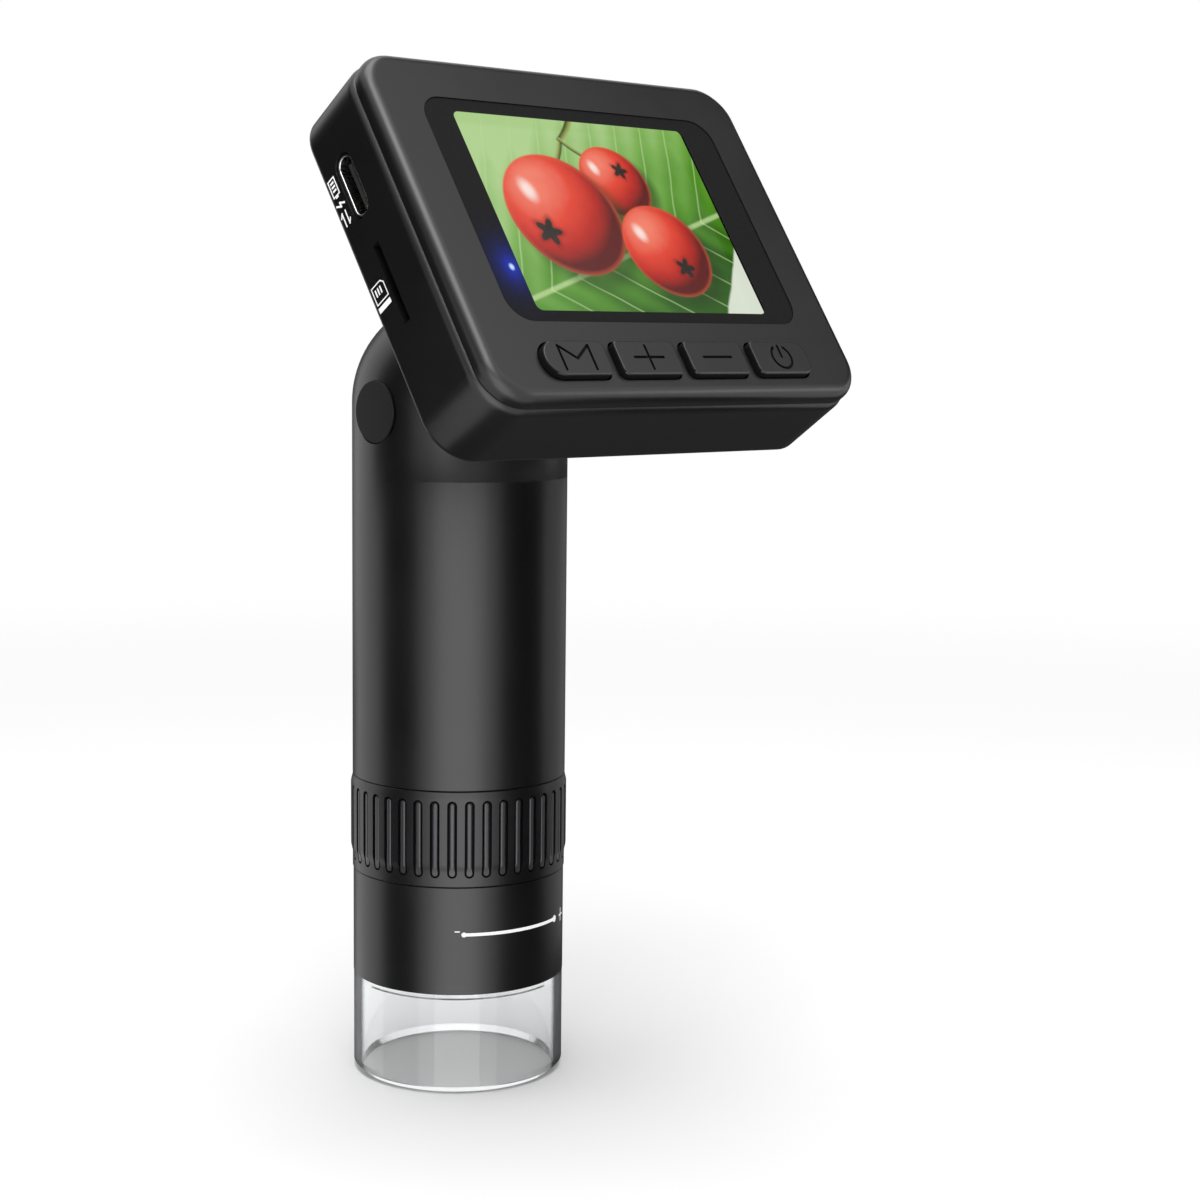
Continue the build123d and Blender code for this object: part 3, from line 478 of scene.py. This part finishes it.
def leaf_ground(drawing, x, up):
    """A bright leaf in the sun, with its midrib, side veins and edge."""
    cloud = drawing.noise(70, 3.0)
    along = x * 0.94 + up * 0.34 + 6.0
    away = up * 0.94 - x * 0.34 + 5.5
    side = abs(away)
    slant = along - side * 0.85 + cloud * 1.6
    vein_step = 2.9
    from_vein = slant.wave(vein_step)
    veins = from_vein.below(0.16, 0.14) * 0.55
    midrib = side.below(0.35, 0.22)
    swell = from_vein.fade(0.0, vein_step)
    light = ((up * 0.028 - x * 0.016 + 0.5) + (cloud - 0.5) * 0.5
             + (swell - 0.5) * 0.14)
    green = drawing.ramp(light, (0.0, rgb(40, 92, 14)), (0.35, rgb(84, 146, 40)),
                         (0.65, rgb(126, 178, 84)), (1.0, rgb(176, 210, 142)))
    green = (veins + midrib * 0.8).least(1).pick(green, rgb(184, 214, 146))
    edge = (x * 0.82 - up * 0.57 + (cloud - 0.5) * 2.0).fade(19.6, 20.1)
    haze = drawing.noise(45, 1.0).pick(rgb(206, 218, 194), rgb(228, 234, 220))
    return edge.pick(green, haze)


def berry(drawing, x, up, centre_x, centre_up, radius, calyx_x, calyx_up, ground):
    """A round red berry with a dark dried flower end and a window highlight."""
    over_x = (x - centre_x) / radius
    over_up = (up - centre_up) / radius
    reach = distance(over_x, over_up)
    bulge = (1 - reach * reach).root()
    lit = over_x * -0.38 + over_up * 0.5 + bulge * 0.72
    mottle = drawing.noise(420, 3.0)
    skin = drawing.ramp(lit + (mottle - 0.5) * 0.12,
                        (0.05, rgb(92, 12, 8)), (0.42, rgb(188, 34, 20)),
                        (0.72, rgb(228, 66, 44)), (0.98, rgb(246, 132, 108)))
    calyx_over_x = over_x - calyx_x
    calyx_over_up = over_up - calyx_up
    five_turns = calyx_over_up.maths("ARCTAN2", calyx_over_x) * 5
    lobes = five_turns.maths("COSINE") * 0.055 + 0.17
    past_lobes = distance(calyx_over_x, calyx_over_up) - lobes
    calyx = past_lobes.below(0, 0.02)
    pit = past_lobes.below(0.06, 0.07) * 0.55
    skin = pit.pick(skin, rgb(120, 18, 12))
    skin = calyx.pick(skin, mottle.pick(rgb(18, 14, 12), rgb(52, 40, 30)))
    glint_x = (over_x + 0.36) * 1.5 + over_up * 0.5
    glint_up = over_up - 0.42 - (over_x + 0.36) * 0.3
    glint = distance(glint_x, glint_up).below(0.17, 0.12)
    skin = (glint * 0.85).pick(skin, rgb(255, 240, 232))
    rim = reach.fade(0.9, 1.0) * 0.35
    skin = rim.pick(skin, rgb(240, 110, 70))
    shade = distance(over_x - 0.16, over_up + 0.2).below(1.02, 0.16) * 0.6
    ground = shade.pick(ground, rgb(30, 62, 12))
    return reach.below(1, 0.02).pick(ground, skin)


def stalk(x, up, start, end, width, bend, ground):
    """A thin bent stalk between two points of the picture, lit from above."""
    span_x, span_up = end[0] - start[0], end[1] - start[1]
    length = (span_x ** 2 + span_up ** 2) ** 0.5
    run_x, run_up = span_x / length, span_up / length
    along = (x - start[0]) * run_x + (up - start[1]) * run_up
    off = (up - start[1]) * run_x - (x - start[0]) * run_up + along * (along - length) * bend
    past = (abs(along - length / 2) - length / 2).most(0)
    skin = off.fade(-width, width).pick(rgb(58, 70, 26), rgb(164, 178, 100))
    return distance(off, past).below(width, 0.16).pick(ground, skin)


def picture_glass():
    """The lit picture on the panel: ripe berries lying on a leaf."""
    material, drawing = new_finish("picture_panel_glass")
    across, raised, out = drawing.head_place()
    x, up = across - PICTURE_X, raised - PICTURE_UP
    picture = leaf_ground(drawing, x, up)
    fork = (-2.4, 12.9)
    for start, end, width, bend in (((1.2, 17.0), fork, 0.5, 0.03),
                                    ((-8.0, 6.0), fork, 0.38, -0.025),
                                    (fork, (5.0, 9.0), 0.36, -0.04)):
        picture = stalk(x, up, start, end, width, bend, picture)
    picture = berry(drawing, x, up, 4.4, 6.4, 5.9, 0.3, 0.35, picture)
    picture = berry(drawing, x, up, -7.4, 0.6, 9.6, -0.42, -0.3, picture)
    picture = berry(drawing, x, up, 8.3, -4.6, 7.4, 0.28, -0.36, picture)
    scan = (raised * 6).wave(1.0)
    shown = inside_rounded(x, up, PICTURE_HALF_X + PICTURE_BLEED,
                           PICTURE_HALF_UP + PICTURE_BLEED, PICTURE_CORNER, 0.05)
    shown = shown * out.fade(PANEL_FRONT - 0.05, PANEL_FRONT)
    unlit = rgb(14, 15, 17)
    surface(drawing, Base_Color=shown.pick(scan.pick(rgb(12, 13, 15), unlit), (0, 0, 0, 1)),
            Roughness=0.22 + scan * 0.03, Emission_Color=shown.pick((0, 0, 0, 1), picture),
            Emission_Strength=1.0)
    return material


def window_sheet():
    """Clear sheet with a black printed border, with the status lamp's lit point and glow painted
    on it.
    """
    material, drawing = new_finish("black_bordered_window")
    across, raised, out = drawing.head_place()
    x, up = across - PICTURE_X, raised - PICTURE_UP
    clear = inside_rounded(x, up, PICTURE_HALF_X, PICTURE_HALF_UP, PICTURE_CORNER, 0.04)
    speck = drawing.noise(1800, 2.0)
    # Painted light: the status lamp's lit point and glow are painted as emission on the border.
    reach = distance(across - STATUS_X, (raised - STATUS_UP) * 0.8)
    core = reach.below(0.34, 0.22)
    glow = (reach * -0.85).maths("EXPONENT")
    border = (1 - clear) * out.fade(WINDOW_FRONT - 0.05, WINDOW_FRONT)
    colour = core.pick((glow * 0.9).least(1).pick((0, 0, 0, 1), rgb(24, 58, 216)),
                       rgb(200, 226, 255))
    surface(drawing, Base_Color=speck.pick(rgb(24, 24, 24), rgb(32, 32, 32)),
            Roughness=0.5 + speck * 0.06, Alpha=border * 0.97 + 0.03,
            Emission_Color=border.pick((0, 0, 0, 1), colour), Emission_Strength=1.0,
            Specular_IOR_Level=0.05)
    return material


# ---------------------------------------------------------- modelled bits


def active():
    """The object that the last operator made."""
    return bpy.context.view_layer.objects.active


def finish_mesh(piece, place=None):
    """Puts the piece's place into its mesh, with its object at the origin."""
    bpy.context.view_layer.update()
    piece.data.transform((place or Matrix()) @ piece.matrix_world)
    piece.matrix_world = Matrix()


def join_all(name, pieces):
    """Joins the pieces into one object."""
    bpy.ops.object.select_all(action="DESELECT")
    for piece in pieces:
        piece.select_set(True)
    bpy.context.view_layer.objects.active = pieces[0]
    bpy.ops.object.join()
    whole = active()
    whole.name = name
    whole.select_set(False)
    return whole


def apply_modifier(piece, kind, **settings):
    modifier = piece.modifiers.new(kind, kind)
    for name, value in settings.items():
        setattr(modifier, name, value)
    bpy.context.view_layer.objects.active = piece
    bpy.ops.object.modifier_apply(modifier=modifier.name)


INK = 0.02 * MM             # thickness of the printing


def ink_stroke(start, end, width):
    """A round-cornered stroke of ink on the flat, sizes in millimetres."""
    span = Vector(end) - Vector(start)
    middle = (Vector(end) + Vector(start)) / 2
    bpy.ops.mesh.primitive_cube_add(
        size=1, location=(middle.x * MM, middle.y * MM, INK / 2),
        rotation=(0, 0, atan2(span.y, span.x)))
    piece = active()
    bpy.ops.object.mode_set(mode="EDIT")
    bpy.ops.transform.resize(value=((span.length + width) * MM, width * MM, INK),
                             orient_type="LOCAL")
    bpy.ops.object.mode_set(mode="OBJECT")
    finish_mesh(piece)
    apply_modifier(piece, "BEVEL", width=width * 0.3 * MM, segments=3, limit_method="ANGLE",
                   affect="EDGES", use_clamp_overlap=True)
    return piece


def ink_lines(points, width):
    """A chain of strokes from point to point."""
    return [ink_stroke(start, end, width) for start, end in zip(points, points[1:])]


HEAD_SIDE = 33.1            # from the head's middle to its left side
SIGN_OUT = 27.85            # the signs' back edge, in the head's own frame


def side_place(up):
    """The head's left side, with x down the side and y towards the screen."""
    return HEAD @ Matrix((
        (0, 0, -1, -HEAD_SIDE * MM),
        (-1, 0, 0, up * MM),
        (0, 1, 0, SIGN_OUT * MM),
        (0, 0, 0, 1),
    ))


def charge_sign():
    """Battery, bolt and arrows beside the charging socket."""
    pieces = ink_lines([(0.1, 0.1), (2.5, 0.1), (2.5, 1.5), (0.1, 1.5), (0.1, 0.1)], 0.2)
    pieces += [ink_stroke((2.75, 0.6), (2.75, 1.0), 0.22)]
    pieces += [ink_stroke((x, 0.55), (x, 1.05), 0.3) for x in (0.65, 1.2, 1.75)]
    pieces += ink_lines([(4.15, 1.65), (3.65, 0.8), (4.25, 0.85), (3.75, 0.0)], 0.26)
    pieces += ink_lines([(5.1, 1.2), (7.0, 1.2), (6.5, 1.6)], 0.22)
    pieces += ink_lines([(7.0, 0.4), (5.1, 0.4), (5.6, 0.0)], 0.22)
    sign = join_all("charge_sign", pieces)
    finish_mesh(sign, side_place(16.0))
    return sign


def card_sign():
    """Outline of a small card with its cut corner and a solid end bar."""
    outline = [(0.1, 0.1), (0.1, 2.2), (0.6, 2.75), (2.5, 2.75), (2.5, 0.1), (0.1, 0.1)]
    pieces = ink_lines(outline, 0.16)
    pieces += [ink_stroke((0.75, y), (1.5, y), 0.26) for y in (0.7, 1.25, 1.8)]
    pieces += [ink_stroke((3.3, 0.35), (3.3, 2.45), 0.72)]
    sign = join_all("card_sign", pieces)
    finish_mesh(sign, side_place(-0.43))
    return sign


BARREL = 15.4 * MM          # the lower barrel's radius
MARK_HEIGHT = 23.15
MINUS_END, PLUS_END = -35.8, 25.5       # the printed line's ends, as angles


def on_barrel(angle, height):
    """A place on the lower barrel's wall; the angle runs from the screen's side."""
    stand = Matrix(((1, 0, 0, 0), (0, 0, -1, 0), (0, 1, 0, 0), (0, 0, 0, 1)))
    return (Matrix.Translation((0, 0, height * MM)) @ Matrix.Rotation(radians(angle), 4, "Z")
            @ Matrix.Translation((0, -BARREL, 0)) @ stand)


def curved_line(low_angle, high_angle, height, width):
    """A printed line that follows the barrel's wall."""
    bpy.ops.mesh.primitive_cylinder_add(vertices=240, radius=BARREL, depth=width * MM,
                                        end_fill_type="NOTHING", location=(0, 0, height * MM))
    piece = active()
    finish_mesh(piece)
    bpy.ops.object.mode_set(mode="EDIT")
    for angle, side in ((low_angle, -1), (high_angle, 1)):
        face = radians(angle)
        bpy.ops.mesh.select_all(action="SELECT")
        bpy.ops.mesh.bisect(plane_co=(0, 0, 0), clear_outer=True,
                            plane_no=(side * cos(face), side * sin(face), 0))
    bpy.ops.object.mode_set(mode="OBJECT")
    apply_modifier(piece, "SOLIDIFY", thickness=INK, offset=1)
    return piece


def ink_dot(radius):
    """A printed dot with a softened rim."""
    bpy.ops.mesh.primitive_cylinder_add(vertices=32, radius=radius * MM, depth=INK * 2,
                                        location=(0, 0, INK / 2))
    piece = active()
    apply_modifier(piece, "BEVEL", width=INK * 0.4, segments=2, limit_method="ANGLE")
    return piece


def focus_sign():
    """The printed line from minus to plus on the lower barrel."""
    pieces = [curved_line(MINUS_END, PLUS_END, MARK_HEIGHT, 0.46)]
    for angle, radius in ((MINUS_END, 0.35), (PLUS_END, 0.5)):
        dot = ink_dot(radius)
        finish_mesh(dot, on_barrel(angle, MARK_HEIGHT))
        pieces.append(dot)
    minus_place = on_barrel(MINUS_END - 3.5, MARK_HEIGHT + 0.45)
    plus_place = on_barrel(PLUS_END + 10.3, MARK_HEIGHT)
    for start, end, width, place in (((-0.3, 0), (0.3, 0), 0.16, minus_place),
                                     ((0, -0.85), (0, 0.85), 0.22, plus_place),
                                     ((-0.8, 0), (0.8, 0), 0.22, plus_place)):
        stroke = ink_stroke(start, end, width)
        finish_mesh(stroke, place)
        pieces.append(stroke)
    return join_all("focus_sign", pieces)


# The charging socket's tongue and its fingers, in the head's own frame in millimetres.
TONGUE_MIDDLE = (-29.4, 12.65, 31.97)
FINGER_COUNT, FINGER_STEP = 12, 0.5
FINGER_RISE = 0.36          # from the tongue's middle to a finger's middle


def socket_contacts():
    """Gold fingers on both faces of the socket's tongue."""
    bpy.ops.mesh.primitive_cube_add(size=1)
    first = active()
    bpy.ops.object.mode_set(mode="EDIT")
    bpy.ops.transform.resize(value=(3.4 * MM, 0.26 * MM, 0.03 * MM))
    bpy.ops.object.mode_set(mode="OBJECT")
    apply_modifier(first, "BEVEL", width=0.01 * MM, segments=2)
    pieces = []
    for side in (-1, 1):
        for number in range(FINGER_COUNT):
            finger = first.copy()
            finger.data = first.data.copy()
            bpy.context.scene.collection.objects.link(finger)
            row = (number - (FINGER_COUNT - 1) / 2) * FINGER_STEP
            place = Vector(TONGUE_MIDDLE) + Vector((0, row, side * FINGER_RISE))
            finish_mesh(finger, HEAD @ Matrix.Translation(place * MM))
            pieces.append(finger)
    bpy.data.objects.remove(first)
    return join_all("socket_contacts", pieces)


# ------------------------------------------------------------------ stage


def soft_lamp(name, place, target, size, watts):
    """A rectangular area lamp that faces its target."""
    data = bpy.data.lights.new(name, "AREA")
    data.shape = "RECTANGLE"
    data.size, data.size_y = size
    data.energy = watts
    lamp = bpy.data.objects.new(name, data)
    lamp.location = place
    lamp.rotation_euler = (Vector(target) - Vector(place)).to_track_quat("-Z", "Y").to_euler()
    bpy.context.scene.collection.objects.link(lamp)


def gloss_card(name, place, target, size, level):
    """A card that shows only in gloss; its level is a number or drawn over it."""
    facing = (Vector(target) - Vector(place)).to_track_quat("Z", "Y").to_euler()
    bpy.ops.mesh.primitive_plane_add(size=1, location=place, rotation=facing)
    card = active()
    card.name = name
    bpy.ops.object.mode_set(mode="EDIT")
    bpy.ops.transform.resize(value=(size[0], size[1], 1), orient_type="LOCAL")
    bpy.ops.object.mode_set(mode="OBJECT")
    finish_mesh(card)
    material, drawing = new_finish(name)
    colour = level(drawing) if callable(level) else grey(level)
    drawing.node("OutputMaterial", (), {
        "Surface": drawing.node("Emission", (), {"Color": colour, "Strength": 1.0})})
    material.cycles.emission_sampling = "NONE"
    card.data.materials.append(material)
    card.visible_camera = False
    card.visible_diffuse = False
    card.visible_transmission = False
    card.visible_shadow = False


def standing_card(name, angle, away, width, low, high, level):
    """An upright card round the barrel's axis; the angle runs from the screen's side."""
    face = radians(angle)
    middle = (low + high) / 2
    place = (sin(face) * away, -cos(face) * away, middle)
    gloss_card(name, place, (0, 0, middle), (width, high - low), level)


def sky_over_screen(drawing):
    """The light that the screen's plate mirrors, brighter towards its left."""
    x, y = drawing.parts("XY")
    return (x + y).fade(0.02, 0.15).pick(grey(1.3), grey(0.04))


def dusk_behind(drawing):
    """The dim light behind the object, darker beside the head."""
    z = drawing.parts("Z")[0]
    return z.fade(0.07, 0.1).pick(grey(0.15), grey(0.03))


def seen_or_mirrored(drawing):
    """1 for the rays that show the backdrop: seen, mirrored or through glass."""
    kinds = [drawing.node("LightPath", (), (), "Is " + kind + " Ray")
             for kind in ("Camera", "Glossy", "Transmission")]
    return (kinds[0] + kinds[1] + kinds[2]).least(1)


def set_stage():
    """The pale floor, the cards that the plastic mirrors, the lamps and the white world."""
    bpy.ops.mesh.primitive_plane_add(size=8, location=(0, 0, -0.0002))
    floor = active()
    floor.name = "pale_floor"
    material, drawing = new_finish("pale_floor")
    speck = drawing.noise(3, 2.0)
    x, y = drawing.parts("XY")
    far = distance(x, y).fade(0.2, 0.6)
    near = shader(drawing, Base_Color=speck.pick(grey(0.97), grey(0.99)), Roughness=1.0,
                  Specular_IOR_Level=0.0)
    mixed_surface(drawing, far * seen_or_mirrored(drawing), near,
                  drawing.node("Emission", (), {"Color": grey(1), "Strength": 1.0}))
    floor.data.materials.append(material)
    floor.visible_glossy = False
    standing_card("left_flag", -98.1, 0.06, 0.046, -0.08, 0.083, 0.004)
    standing_card("right_flag", 26.3, 0.06, 0.061, -0.08, 0.091, 0.004)
    standing_card("right_grey", 84, 0.07, 0.06, -0.08, 0.083, 0.4)
    standing_card("back_flag", 130, 0.3, 0.56, -0.2, 0.25, dusk_behind)
    head_side = (-0.033, -0.028, 0.124)
    gloss_card("side_flag", (-0.064, 0.011, 0.124), head_side, (0.062, 0.084), 0.02)
    gloss_card("edge_flag", (-0.165, -0.02, 0.188), head_side, (0.14, 0.045), 0.1)
    gloss_card("low_flag", (0.25, 0.2, 0.001), (0.25, 0.2, 1), (0.5, 0.6), 0.06)
    gloss_card("under_flag", (0.015, -0.027, 0.087), (0.015, -0.027, 1), (0.1, 0.05), 0.1)
    gloss_card("screen_sky", (0.2, -0.105, 0.335), (0, -0.033, 0.12), (0.4, 0.4), sky_over_screen)
    standing_card("front_light", -39.7, 0.55, 0.5, -0.45, 0.3, 2.6)
    gloss_card("chin_light", (0.33, -0.35, 0.24), (0, -0.05, 0.1), (0.17, 0.26), 3.4)
    soft_lamp("lamp_edge", (-0.19, -0.27, 0.54), (0, -0.03, 0.11), (0.3, 0.3), 1.25)
    soft_lamp("lamp_top", (0, 0, 1.2), (0, 0, 0), (0.9, 0.9), 8)
    world = bpy.data.worlds.new("studio")
    bpy.context.scene.world = world
    world.use_nodes = True
    drawing = Drawing(world.node_tree)
    sky = drawing.node("Background", (), {
        "Color": grey(1), "Strength": seen_or_mirrored(drawing) * 0.55 + 0.45})
    drawing.node("OutputWorld", (), {"Surface": sky})
    bpy.context.scene.view_settings.view_transform = "Standard"


# --------------------------------------------------------------- assembly


def dress(finishes):
    """Gives every CAD node its finish."""
    for material, nodes in finishes:
        for node in nodes.split():
            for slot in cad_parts[node].material_slots:
                slot.material = material


set_camera()

shell_colour = rgb(13, 13, 15)
steel = turned_metal("turned_steel", rgb(188, 188, 190))
board = circuit_board()
inner_plastic = moulded_plastic("inner_black_plastic", rgb(32, 32, 34), 0.6, 0.02)
film = ribbon_film()
chips = moulded_plastic("chip_moulding", rgb(30, 30, 32), 0.55, 0.01, 0.0001)
dress([
    (moulded_plastic("barrel_satin_plastic", shell_colour),
     "barrel_tube lower_barrel"),
    (moulded_plastic("cap_matt_plastic", shell_colour, 0.5, level=0.25),
     "hinge_cap_left hinge_cap_right"),
    (moulded_plastic("case_satin_plastic", shell_colour), "rear_case front_bezel"),
    (moulded_plastic("grip_ring_plastic", shell_colour, painted_shade=painted_pocket_shade, painted_highlight=painted_bar_highlight),
     "focus_ring"),
    (moulded_plastic("key_plastic", shell_colour, painted_shade=painted_key_shade),
     "mode_button plus_button minus_button power_button"),
    (inner_plastic, "guide_sleeve lens_carrier lens_retainer battery_cradle usb_tongue"),
    (clear_plastic("clear_hood_plastic", (0.97, 0.98, 0.985, 1), rgb(66, 67, 70)),
     "clear_hood"),
    (clear_plastic("light_pipe_plastic", (0.93, 0.96, 1.0, 1), rgb(190, 205, 225), 0.1),
     "status_light_pipe"),
    (lens_glass(), "objective_lens rear_lens"),
    (frosted_diffuser(), "light_diffuser"),
    (board, "lamp_board sensor_board power_board main_board"),
    (film, "camera_ribbon panel_ribbon"),
    (cell_sleeve(), "battery_cell"),
    (lamp_face(), "lamps"),
    (status_lamp_face(), "status_lamp"),
    (chips, "image_sensor board_chips"),
    (white_moulding("washer_nylon"), "friction_washers"),
    (white_moulding("white_backlight"), "panel_backlight panel_frame"),
    (steel, "hinge_pin spring_washer hinge_nut case_screws board_screws"),
    (turned_metal("nickel_plate", rgb(200, 196, 186), 0.25), "battery_tabs button_switches"),
    (turned_metal("socket_steel", rgb(206, 206, 206), 0.22), "usb_shell card_socket"),
    (picture_glass(), "picture_panel"),
    (window_sheet(), "display_window"),
])

ink = printed_ink()
gold = turned_metal("gold_plate", rgb(232, 190, 96), 0.2)
for make, body, slot, finish in (
        (charge_sign, "head", "white_plastic", ink),
        (card_sign, "head", "white_plastic", ink),
        (focus_sign, "handle", "white_plastic", ink),
        (socket_contacts, "head", "nickel", gold)):
    piece = make()
    piece.data.materials.clear()
    piece.data.materials.append(finish)
    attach(piece, body)

set_stage()
